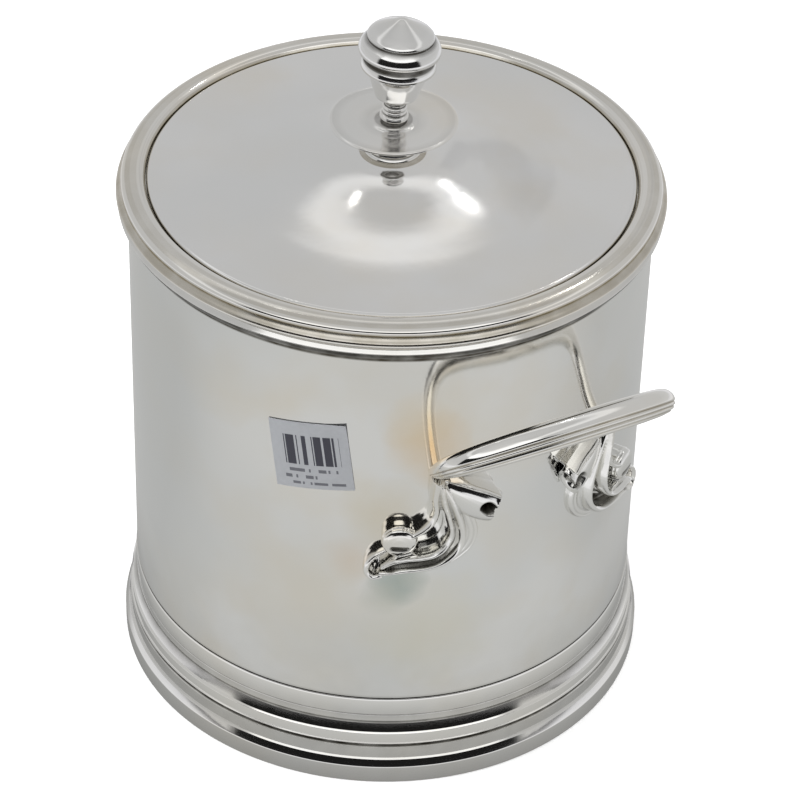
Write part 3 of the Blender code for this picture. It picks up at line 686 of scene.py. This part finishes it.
def mount_relief():
    """The flat relief of one mount, in millimetres: x along the wall, y height, z out of the wall."""
    shape = bmesh.new()
    boss = [(4.7, -0.6), (4.6, 1.6), (4.65, 2.5), (4.3, 3.0), (4.4, 3.3), (4.0, 3.9), (3.0, 4.3), (1.5, 4.55),
            (0, 4.6)]
    turned_boss(shape, boss, (35.0, 85.2))
    # The stem, from the loop's end down into the boss.
    relief_blade(shape, [(25.9, 105.0), (26.2, 102.0), (26.4, 98.7), (26.1, 95.0), (26.8, 92.0), (28.4, 89.7),
                         (30.6, 88.0), (33.0, 86.6)],
                 swell(3.0, 2.6, 1.6, 0.3), swell(3.4, 2.8, 2.6), 1, -0.5)
    # The rib under the boss and the lower edge, which run together to the tip.
    relief_blade(shape, [(25.2, 104.0), (24.4, 98.5), (23.2, 93.3), (22.6, 88.8), (23.9, 84.6), (26.4, 82.3),
                         (29.6, 81.4), (33.2, 80.9), (36.6, 79.6), (39.4, 77.4)],
                 swell(2.2, 2.2, 1.6, 0.4), swell(3.0, 3.4, 2.6), 1, -0.6, swell(0.2, 0.8, 0.6))
    relief_blade(shape, [(24.4, 102.5), (21.7, 96.0), (19.8, 89.8), (19.2, 84.7), (20.6, 80.6), (24.0, 77.6),
                         (28.6, 76.2), (33.6, 75.6), (37.6, 74.8), (40.0, 74.4)],
                 swell(2.0, 2.6, 1.6, 0.4), swell(2.4, 2.6, 2.2), 1, -0.4, swell(0.2, 0.5, 0.4))
    # The veined leaf, low against the wall.
    relief_blade(shape, [(24.4, 100.5), (22.0, 93.5), (21.0, 86.5), (23.4, 80.8), (28.2, 78.7), (33.8, 78.2),
                         (38.6, 76.6)],
                 swell(1.6, 4.6, 3.0), swell(1.2, 1.0, 0.8), 2, 0.3)
    relief_blade(shape, [(23.8, 101.0), (20.2, 95.4), (17.4, 89.6), (16.2, 84.4), (17.6, 80.0), (21.4, 76.6),
                         (26.0, 74.8)],
                 swell(1.6, 4.2, 1.6, 0.6), swell(1.8, 1.4, 0.8), 3, 0.1)
    # The lip of the tip, and the fold along the curled lobe.
    relief_blade(shape, [(38.2, 81.6), (41.1, 79.9), (42.8, 77.6), (43.1, 75.0), (41.6, 73.2), (39.2, 73.8)],
                 swell(1.2, 2.2, 2.0), swell(1.6, 2.6, 2.6), 0, -0.5)
    relief_blade(shape, [(22.8, 103.6), (19.6, 103.5), (15.2, 101.3), (10.8, 98.8)],
                 swell(0.8, 1.9, 1.5), swell(2.0, 4.0, 4.8, 0.6), 0, -0.5)
    trumpet(shape)
    return shape


def turned_boss(shape, outline, centre):
    """Adds a round boss that stands on the wall: an outline of (radius, out) turned about centre."""
    verts = [shape.verts.new((centre[0] + radius, centre[1], out)) for radius, out in outline]
    edges = [shape.edges.new(pair) for pair in zip(verts, verts[1:])]
    base = shape.verts.new((centre[0], centre[1], outline[0][1]))
    edges.append(shape.edges.new((base, verts[0])))
    bmesh.ops.spin(shape, geom=verts + [base] + edges, axis=(0, 0, 1), cent=(*centre, 0), angle=2 * math.pi,
                   steps=BOSS_STEPS, use_merge=True)


def trumpet(shape):
    """Adds the curled lobe: a rolled leaf that widens from the neck and ends in an open mouth."""
    line = smooth_line([Vector((24.6, 102.6, 1.0)), Vector((20.2, 99.6, 2.0)), Vector((15.9, 96.6, 2.6)),
                        Vector((12.4, 94.6, 3.0)), Vector((11.0, 94.0, 3.2))], CURL_STEPS)
    line_in = [line[-1].lerp(line[-2], 3.0 * k) for k in range(1, 5)]
    rings = []
    for i, spot in enumerate(line + line_in):
        t = min(1.0, i / (len(line) - 1))
        inner = max(0, i - len(line) + 1)
        ahead = line[-1] - line[-3] if t == 1.0 else line[i + 1] - line[max(i - 1, 0)]
        ahead = ahead.normalized()
        side = Vector((-ahead.y, ahead.x, 0)).normalized()
        out = ahead.cross(side) * -1
        out = out if out.z > 0 else -out
        wide = swell(1.2, 5.2, 4.7, 0.6)(t)
        deep = swell(1.2, 2.7, 3.0, 0.7)(t)
        shrink = 1.0 if inner == 0 else 0.72 - 0.06 * (inner - 1)
        ring = []
        for k in range(CURL_POINTS):
            angle = 2 * math.pi * k / CURL_POINTS
            ring.append(spot + side * (wide * math.cos(angle) * shrink)
                        + out * (deep * math.sin(angle) * shrink))
        rings.append(ring)
    loft(shape, rings)


def fused(shape, name):
    """Fuses overlapping lobes into one closed skin and smooths it as a casting is."""
    mesh = bpy.data.meshes.new(name)
    bmesh.ops.remove_doubles(shape, verts=shape.verts, dist=1e-4)
    bmesh.ops.recalc_face_normals(shape, faces=shape.faces)
    shape.to_mesh(mesh)
    shape.free()
    rough = bpy.data.objects.new(name, mesh)
    bpy.context.scene.collection.objects.link(rough)
    skin = rough.modifiers.new("skin", "REMESH")
    skin.mode = "VOXEL"
    skin.voxel_size = VOXEL
    polish = rough.modifiers.new("polish", "SMOOTH")
    polish.factor = 0.5
    polish.iterations = 3
    graph = bpy.context.evaluated_depsgraph_get()
    done = bpy.data.meshes.new_from_object(rough.evaluated_get(graph))
    bpy.data.objects.remove(rough)
    made = bmesh.new()
    made.from_mesh(done)
    bpy.data.meshes.remove(done)
    return made


def hollows(shape):
    """Marks the hollows of a relief for painted shade: how far each point lies under the smoothed surface
    around it.
    """
    crevice = shape.verts.layers.float.new("crevice")
    level = {vert: vert.co.z for vert in shape.verts}
    for _ in range(HOLLOW_PASSES):
        level = {vert: sum(level[edge.other_vert(vert)] for edge in vert.link_edges) / len(vert.link_edges)
                 for vert in shape.verts}
    for vert in shape.verts:
        vert[crevice] = max(0.0, min(1.0, (level[vert] - vert.co.z) / HOLLOW_REACH))


def press(shape, route, width, floor):
    """Presses a hollow into the relief along a route of (along, height) points, down to floor, painted dark
    as shade.
    """
    crevice = shape.verts.layers.float["crevice"]
    line = smooth_line([Vector(spot) for spot in route], PRESS_STEPS)
    for vert in shape.verts:
        near = min((vert.co.xy - spot).length for spot in line) / width
        if near < 1 and vert.co.z > floor:
            vert.co.z = floor + (vert.co.z - floor) * near * near * (3 - 2 * near)
            vert[crevice] = max(vert[crevice], 1 - near ** 3)


# mount_silver's near-black crevice colour, driven by the hollows and the pressed routes, is painted shade in
# the mounts' hollows.
mount_silver = silver("mount_silver", (0.90, 0.89, 0.86), 0.10, 0.08, grime_and_shade_colour=(0.05, 0.045, 0.03))
relief = fused(mount_relief(), "mount_relief")
hollows(relief)
press(relief, [(13.7, 95.1), (13.0, 94.3)], 2.2, 1.8)
press(relief, [(24.0, 80.2), (26.0, 78.7), (28.5, 78.0), (31.5, 77.7), (34.8, 77.5), (37.4, 76.4)], 1.45, 0.3)
press(relief, [(26.4, 85.2), (28.6, 83.9), (30.2, 83.4)], 1.1, 0.8)
press(relief, [(33.4, 83.7), (36.6, 83.9)], 1.0, 3.9)
for name, side, drop in (("leaf_mount_front", -1, 0.0), ("leaf_mount_back", 1, BACK_MOUNT_DROP)):
    bent = relief.copy()
    for vert in bent.verts:
        along, height, out = vert.co
        vert.co = Vector(on_wall(side * along, height - drop, MOUNT_SEAM + out)) * MM
    mount = add_piece(name, bent, mount_silver, "bowl", math.radians(80))
    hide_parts(name)
relief.free()

# Stock label: a small square of coated paper stuck on the wall askew, printed with a block of bars and
# three rows of plain dashes. One corner has begun to lift.
LABEL_SIDE = 21.0
LABEL_HEIGHT = 108.5
LABEL_TURN = -47.8
LABEL_TILT = 7.3
LABEL_THICKNESS = 0.12
LABEL_SEAM = 0.3
CORNER_LIFT = 0.5

label_shape = bmesh.new()
bmesh.ops.create_grid(label_shape, x_segments=40, y_segments=40, size=0.5, calc_uvs=False)
label_uv = label_shape.loops.layers.uv.new("print")
for face in label_shape.faces:
    for loop in face.loops:
        loop[label_uv].uv = (loop.vert.co.x + 0.5, loop.vert.co.y + 0.5)
bmesh.ops.solidify(label_shape, geom=label_shape.faces[:], thickness=LABEL_THICKNESS / LABEL_SIDE)
turn = Matrix.Rotation(math.radians(LABEL_TILT), 3, "Z")
for vert in label_shape.verts:
    lift = CORNER_LIFT * max(0.0, vert.co.x + vert.co.y - 0.7) ** 2 * 10
    flat = turn @ Vector((vert.co.x, vert.co.y, 0)) * LABEL_SIDE
    angle = math.radians(LABEL_TURN) + flat.x / BODY_RADIUS
    radius = BODY_RADIUS + LABEL_SEAM + vert.co.z * LABEL_SIDE + lift
    vert.co = Vector((radius * math.cos(angle), radius * math.sin(angle), LABEL_HEIGHT + flat.y)) * MM

paper = bpy.data.materials.new("label_paper")
sticker = Nodes(paper)
spot = sticker.add("ShaderNodeSeparateXYZ", {0: sticker.add("ShaderNodeUVMap", uv_map="print").outputs[0]})
across, upward = spot.outputs[0], spot.outputs[1]


def within(value, low, high):
    """1 between two limits, 0 outside them."""
    above = sticker.math("GREATER_THAN", value, low)
    return sticker.math("MULTIPLY", above, sticker.math("LESS_THAN", value, high))


def dashes(value, count, share, seed):
    """Random on and off cells: count of them across the label, share of them inked."""
    cell = sticker.math("ADD", sticker.math("FLOOR", sticker.math("MULTIPLY", value, count)), seed)
    noise = sticker.add("ShaderNodeTexWhiteNoise", {"W": cell}, noise_dimensions="1D").outputs[0]
    return sticker.math("LESS_THAN", noise, share)


ink = sticker.math("MULTIPLY", dashes(across, 72.0, 0.60, 5.5),
                   sticker.math("MULTIPLY", within(across, 0.16, 0.88), within(upward, 0.36, 0.80)))
for row, (low, high, left, right) in enumerate([(0.25, 0.30, 0.20, 0.84), (0.15, 0.20, 0.14, 0.62),
                                                (0.06, 0.10, 0.14, 0.90)]):
    line = sticker.math("MULTIPLY", dashes(across, 40.0, 0.66, 11.5 + 7 * row),
                        sticker.math("MULTIPLY", within(across, left, right), within(upward, low, high)))
    ink = sticker.math("MAXIMUM", ink, sticker.math("MULTIPLY", line, 0.75))
fibre = sticker.add("ShaderNodeTexNoise", {"Vector": sticker.add("ShaderNodeTexCoord").outputs["Object"],
                                           "Scale": 900.0, "Detail": 3.0}).outputs["Fac"]
stock = sticker.blend(fibre, (0.325, 0.335, 0.355), (0.38, 0.39, 0.41))
printed = sticker.blend(ink, stock, (0.035, 0.035, 0.05))
grain = sticker.add("ShaderNodeBump", {"Height": fibre, "Strength": 0.15, "Distance": 0.0001})
coat = sticker.add("ShaderNodeBsdfPrincipled", {"Base Color": printed, "Roughness": 0.55,
                                                "Normal": grain.outputs[0]})
sticker.add("ShaderNodeOutputMaterial", {"Surface": coat.outputs[0]})
label = add_piece("stock_label", label_shape, paper, "bowl")
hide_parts("stock_label")
